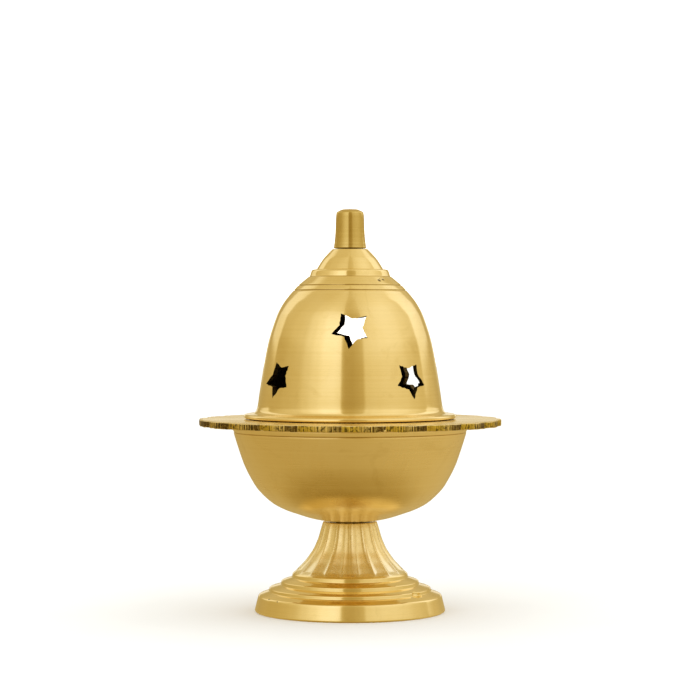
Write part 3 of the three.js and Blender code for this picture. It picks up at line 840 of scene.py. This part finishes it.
def dome_piece():
    zl = DOME_LO.z                                   # lower edge of the lip
    zf = 64.6 + (zl - 63.06)                         # underside of the flange
    ztop = DOME_HI.z
    lip = rounded([(29.35, zl, 0.3), (31.75, zl, 0.3), (31.78, zf - 0.25), (31.85, zf, 0.1), (35.1, zf, 0.35), (35.74, zf + 0.62, 0.6),
                   (35.35, zf + 1.45, 0.55), (34.2, zf + 1.62, 0.5)], closed=False, steps=6)
    side = spline([(33.3, zf + 1.72), (32.2, zf + 1.95), (31.5, zf + 2.55), (31.1, zf + 3.6), (30.85, 69.3), (30.42, 72.4), (29.9, 75.8),
                   (29.37, 79.1), (28.83, 82.45), (28.25, 85.8), (27.6, 89.1), (26.95, 91.8), (26.2, 94.3), (25.4, 96.7), (24.35, 99.5),
                   (23.3, 101.6), (22.0, 103.7), (20.6, 105.5), (19.35, 106.95)], 7)
    steps_ = rounded([(19.0, 107.32, 0.05), (18.60, 107.42, 0.05), (18.68, 107.72, 0.06), (17.50, 108.98, 0.05), (17.05, 109.06, 0.05),
                      (17.12, 109.38, 0.06), (13.95, 111.95, 0.12), (13.55, 112.12, 0.12), (13.42, 112.5, 0.2), (12.95, 114.0, 0.4),
                      (12.45, 114.45, 0.35), (11.15, 114.55, 0.25)], closed=False, steps=4)
    cap = spline([(10.95, 114.9), (10.35, 115.9), (9.65, 117.0), (8.75, 118.25), (7.7, 119.4), (6.7, 120.45), (5.95, ztop - 0.08)], 6)
    hole = [(5.6, ztop), (2.62, ztop), (2.62, 118.5), (2.62, 116.3)]
    inner = spline([(5.4, 115.0), (8.3, 111.9), (12.4, 109.2), (16.9, 105.9), (20.3, 102.4), (22.3, 99.3), (23.8, 95.9), (24.9, 92.2),
                    (26.1, 87.4), (27.1, 82.4), (27.9, 78.0), (28.5, 74.0), (29.0, 70.0), (29.3, 67.0), (29.35, 65.0)], 3)
    outer = lip + side + refine([side[-1]] + steps_, 0.55, closed=False)[1:] + cap
    prof = outer + refine([cap[-1]] + hole, 0.9, closed=False)[1:] + inner
    pits = [(38.2, 110.7, 0.60, 0.34), (46.0, 110.9, 0.52, 0.30), (41.5, 111.3, 0.22, 0.15), (-152.0, 103.0, 0.4, 0.3)]
    pit_at = [surface_point(outer, a, z) for a, z, s, d in pits]

    def warp(R, A, Z):
        for (a, z, s, d), (mx, my, mz) in zip(pits, pit_at):
            X, Y = R * np.sin(A), -R * np.cos(A)
            dist = np.sqrt((X - mx) ** 2 + (Y - my) ** 2 + (Z - mz) ** 2)
            R = R - np.where(R > 10.5, d * smooth01(1 - dist / s), 0.0)
        return R, Z

    ob = lathe("dome_body", prof, 320, warp)
    cutters = []
    for i, (az, z, pts) in enumerate(STARS):
        a = az * DEG
        out = Vector((math.sin(a), -math.cos(a), 0))
        right = Vector((math.cos(a), math.sin(a), 0))
        wall = 26.3 if z > 90 else 29.5
        outline = [(wall * math.sin(u * UNIT / wall), h * UNIT) for u, h in jag(pts, i + 1, 0.45)]
        cutters.append(prism("star_%d" % i, outline, Vector((0, 0, z)), right, Vector((0, 0, 1)), out, 17.0, 36.0))
    cut(ob, cutters)
    me = ob.data
    marks = [(m, s * 1.35) for (a, z, s, d), m in zip(pits, pit_at)]
    # the lip under the flange gets painted shade (shade_below), and the turned grooves get painted shade lines
    polished = turned_brass("lid_polished", -1, rough=0.10, lines=1.0, coat=0.15, marks=marks, seed=2.2, shade_below=zf + 0.12,
                            shaded_grooves=((107.55, 0.16), (109.2, 0.16), (112.08, 0.13)))
    inside = dark_oxide_and_shade("lid_inside_oxide_and_shade")
    n = Nodes("star_wall")
    g = n.noise3(1.4, 4.0, 0.65)
    raw = n.finish(n.mix(n.remap(g, 0.35, 0.65), (0.13, 0.085, 0.022), (0.022, 0.012, 0.003)), n.remap(g, 0.3, 0.7, 0.4, 0.6),
                   n.bump(g, 0.6, 0.1), metallic=0.8)
    me.materials.clear()
    for m in (polished, inside, raw):
        me.materials.append(m)
    # finish: polished outside, dark inside (oxide plus painted shade), raw walls of the stars
    co = coords(me)
    rr = np.hypot(co[:, 0], co[:, 1]) / MM
    zz = co[:, 2] / MM
    op = sorted([(z, r) for r, z in outer if z > zf + 2.0])
    oz, orr = np.array([p[0] for p in op]), np.array([p[1] for p in op])
    for p in me.polygons:
        vs = list(p.vertices)
        z = float(np.mean(zz[vs]))
        r = float(np.mean(rr[vs]))
        c = p.center
        radial = (p.normal.x * c.x + p.normal.y * c.y) / max(1e-9, math.hypot(c.x, c.y))
        if z < zf + 2.0:
            p.material_index = 1 if r < 30.5 and z > zl + 0.35 else 0
            continue
        gap = float(np.interp(z, oz, orr)) - r
        if gap < 0.06 and radial > 0.1:
            p.material_index = 0
        elif r < 5.0 or radial < -0.05 and gap > 0.9:
            p.material_index = 1
        elif gap > 0.9 and p.normal.z < -0.2 and r < 24.0:
            p.material_index = 1
        elif abs(radial) < 0.35 and 70 < z < 101 and r > 21:
            p.material_index = 2
        else:
            p.material_index = 0 if gap < 0.5 else 1
    weighted(ob, sharp=38.0)
    return ob, "lid"


def knob_piece():
    zb, zt = KNOB_LO.z, KNOB_HI.z
    seat = 121.5 + (zt - 134.6)
    prof = rounded([(0.0, zb), (2.1, zb, 0.2), (2.48, zb + 0.4), (2.48, seat + 0.02), (5.3, seat + 0.02, 0.12), (5.47, seat + 0.2, 0.15),
                    (5.3, seat + 1.5, 0.6), (5.05, seat + 3.6, 0.8), (4.87, seat + 6.4, 0.8), (4.72, seat + 11.0, 0.6),
                    (4.55, zt - 0.95, 0.5), (3.4, zt - 0.35, 0.35), (2.5, zt, 0.25), (1.2, zt), (0.0, zt)], closed=False, steps=5)
    prof = refine(prof, 0.45, closed=False)

    def warp(R, A, Z):
        wob = 0.02 * ripple(Z * 1.7, 3.0, 3)
        return R - np.where((R > 3.0) & (Z > seat + 0.4), 0.02 + wob, 0.0), Z

    ob = lathe("knob_body", prof, 160, warp, closed=False)
    weighted(ob)
    mat = turned_brass("knob_brushed", -1, base=(0.69, 0.52, 0.185), deep=(0.59, 0.43, 0.12), pale=(0.75, 0.585, 0.25), rough=0.17, lines=1.7,
                       aniso=0.6, coat=0.05, line_scale=1.6, seed=8.8)
    ob.data.materials.append(mat)
    return ob, "lid"


def place(made, *nodes, slot):
    ob, body = made
    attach(ob, body)
    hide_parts(*nodes)
    return ob


place(foot_piece(), "foot", slot="foot_brass")
place(bowl_piece(), "bowl", slot="bowl_brass")
place(stud_piece(), "bowl_stud", slot="stud_brass")
place(holder_piece(), "wick_holder", slot="cast_brass")
place(dome_piece(), "lid_dome", slot="lid_brass")
place(knob_piece(), "lid_knob", slot="knob_brass")


# ------------------------------------------------------------------ studio
def disc(name, radius, z, segs=96):
    bm = bmesh.new()
    rings = [0.25, 0.6, 1.2, 2.2, radius]
    centre = bm.verts.new((0, 0, z))
    prev = None
    for rr_ in rings:
        ring = [bm.verts.new((rr_ * math.sin(TAU * i / segs), -rr_ * math.cos(TAU * i / segs), z)) for i in range(segs)]
        for i in range(segs):
            j = (i + 1) % segs
            if prev is None:
                bm.faces.new((centre, ring[i], ring[j]))
            else:
                bm.faces.new((prev[i], ring[i], ring[j], prev[j]))
        prev = ring
    me = bpy.data.meshes.new(name)
    bm.to_mesh(me)
    bm.free()
    return link(name, me)


floor = disc("floor", 4.0, min(0.0, CAD_BOX[0][2]) - 0.00002)
n = Nodes("floor_matte")
grain = n.noise3(0.02, 3.0, 0.5)
floor.data.materials.append(n.finish(n.mix(n.remap(grain, 0.3, 0.7), (0.93, 0.93, 0.925), (0.95, 0.95, 0.945)), 0.75, None, metallic=0.0))
floor.visible_glossy = False

# white studio cyclorama: seen by the camera only, so that it lights nothing
bm = bmesh.new()
bmesh.ops.create_uvsphere(bm, u_segments=64, v_segments=32, radius=8.0)
bmesh.ops.reverse_faces(bm, faces=bm.faces)
me = bpy.data.meshes.new("cyclorama")
bm.to_mesh(me)
bm.free()
cyc = link("cyclorama", me)
mat = bpy.data.materials.new("cyclorama_white")
mat.use_nodes = True
bsdf = mat.node_tree.nodes["Principled BSDF"]
bsdf.inputs["Base Color"].default_value = (1, 1, 1, 1)
bsdf.inputs["Emission Color"].default_value = (1.0, 1.0, 1.0, 1.0)
bsdf.inputs["Emission Strength"].default_value = 1.05
cyc.data.materials.append(mat)
for flag in ("visible_diffuse", "visible_glossy", "visible_transmission", "visible_volume_scatter", "visible_shadow"):
    setattr(cyc, flag, False)

# soft light all round: bright fields to the left and right of a narrow dark strip, darker below
world = bpy.data.worlds.new("studio")
scene.world = world
world.use_nodes = True
wt = world.node_tree
for q in list(wt.nodes):
    wt.nodes.remove(q)
w_out = wt.nodes.new("ShaderNodeOutputWorld")
w_bg = wt.nodes.new("ShaderNodeBackground")
wt.links.new(w_bg.outputs[0], w_out.inputs[0])
tc = wt.nodes.new("ShaderNodeTexCoord")
sep = wt.nodes.new("ShaderNodeSeparateXYZ")
wt.links.new(tc.outputs["Generated"], sep.inputs[0])


def wmath(op, a, b=0.0, clamp=False):
    q = wt.nodes.new("ShaderNodeMath")
    q.operation = op
    q.use_clamp = clamp
    for s, v in zip(q.inputs, (a, b)):
        if isinstance(v, (int, float)):
            s.default_value = v
        else:
            wt.links.new(v, s)
    return q.outputs[0]


def wramp(v, stops, lo, hi):
    q = wt.nodes.new("ShaderNodeMapRange")
    q.inputs["From Min"].default_value = lo
    q.inputs["From Max"].default_value = hi
    wt.links.new(v, q.inputs["Value"])
    c = wt.nodes.new("ShaderNodeValToRGB")
    c.color_ramp.interpolation = "EASE"
    e = c.color_ramp.elements
    while len(e) > 1:
        e.remove(e[-1])
    for i, (p, val) in enumerate(stops):
        p = (p - lo) / (hi - lo)
        el = e[0] if i == 0 else e.new(p)
        el.position = p
        el.color = (val, val, val, 1.0)
    wt.links.new(q.outputs["Result"], c.inputs[0])
    s = wt.nodes.new("ShaderNodeSeparateColor")
    wt.links.new(c.outputs["Color"], s.inputs[0])
    return s.outputs[0]


SCALE = 0.5
az = wmath("MULTIPLY", wmath("ARCTAN2", sep.outputs[0], wmath("MULTIPLY", sep.outputs[1], -1.0)), 180.0 / math.pi)
ROUND = [(-180, .64), (-150, .64), (-128, .68), (-106, .71), (-89, .76), (-74, .80), (-60, .94), (-47, 1.06), (-35, 1.17), (-22, 1.18),
         (-13, 1.12), (-10, .64), (-6, .565), (3, .555), (9, .60), (16.5, .66), (21, .90), (35, .96), (47, 1.01), (60, 1.03), (75, 1.01),
         (90, .93), (106, .86), (128, .82), (150, .69), (180, .64)]
around = wramp(az, [(a, v * SCALE) for a, v in ROUND], -180.0, 180.0)
z = sep.outputs[2]
below = wramp(z, [(-1.0, .33 * SCALE), (-.85, .44 * SCALE), (-.6, .61 * SCALE), (-.3, .61 * SCALE)], -1.0, 0.0)
below = wmath("MULTIPLY", below, wmath("ADD", 1.0, wmath("MULTIPLY", sep.outputs[0], 0.10)))
above = wmath("ADD", 0.74 * SCALE, wmath("MULTIPLY", wmath("MAXIMUM", sep.outputs[0], 0.0), 0.5 * SCALE))


def wmix(f, a, b):
    return wmath("ADD", wmath("MULTIPLY", a, wmath("SUBTRACT", 1.0, f)), wmath("MULTIPLY", b, f))


def wstep(v, a, b):
    q = wt.nodes.new("ShaderNodeMapRange")
    q.interpolation_type = "SMOOTHSTEP"
    q.inputs["From Min"].default_value = a
    q.inputs["From Max"].default_value = b
    wt.links.new(v, q.inputs["Value"])
    return q.outputs["Result"]


# the side fields fade towards the horizon; two high panels and the white wall behind
around = wmath("MULTIPLY", around, wmath("ADD", 0.84, wmath("MULTIPLY", wstep(z, 0.20, 0.40), 0.17)))


def panel(a0, a1, z0, z1, gain, soft=4.0):
    side = wmath("MULTIPLY", wstep(az, a0 - soft, a0 + soft), wmath("SUBTRACT", 1.0, wstep(az, a1 - soft, a1 + soft)))
    high = wmath("MULTIPLY", wstep(z, z0 - 0.04, z0 + 0.04), wmath("SUBTRACT", 1.0, wstep(z, z1 - 0.06, z1 + 0.06)))
    return wmath("MULTIPLY", wmath("MULTIPLY", side, high), gain * SCALE)


around = wmath("ADD", around, panel(-149, -123, 0.14, 0.80, 0.34, 2.5))
around = wmath("ADD", around, panel(112, 146, 0.14, 0.80, 0.32, 2.5))
behind = wmath("MULTIPLY", wstep(sep.outputs[1], 0.92, 0.97), wmath("MULTIPLY", wstep(z, 0.0, 0.03), wmath("SUBTRACT", 1.0, wstep(z, 0.10, 0.16))))
around = wmath("ADD", around, wmath("MULTIPLY", behind, 0.42 * SCALE))
e = wmix(wstep(z, -0.40, -0.08), below, around)
e = wmix(wmath("MULTIPLY", wstep(z, 0.55, 0.95), 0.8), e, above)
e = wmath("DIVIDE", e, SCALE)
tint = wt.nodes.new("ShaderNodeCombineColor")                # white where it is bright, warm where it is dim
wt.links.new(e, tint.inputs[0])
wt.links.new(wmath("MULTIPLY", wmath("POWER", e, 1.30), 0.905), tint.inputs[1])
wt.links.new(wmath("MULTIPLY", wmath("POWER", e, 2.35), 0.70), tint.inputs[2])
wt.links.new(tint.outputs[0], w_bg.inputs["Color"])
w_bg.inputs["Strength"].default_value = 1.0


fill = bpy.data.lights.new("fill", "SUN")                     # very soft, from above: whitens the floor, unseen in the brass
fill.energy = 2.3
fill.color = (0.55, 0.72, 1.0)
fill.angle = 150.0 * DEG
fill_ob = bpy.data.objects.new("fill", fill)
scene.collection.objects.link(fill_ob)
fill_ob.location = (0.0, 0.0, 2.0)
fill_ob.visible_glossy = False

scene.view_settings.view_transform = "Standard"
scene.view_settings.look = "None"
scene.view_settings.exposure = 0.0
scene.view_settings.gamma = 1.0
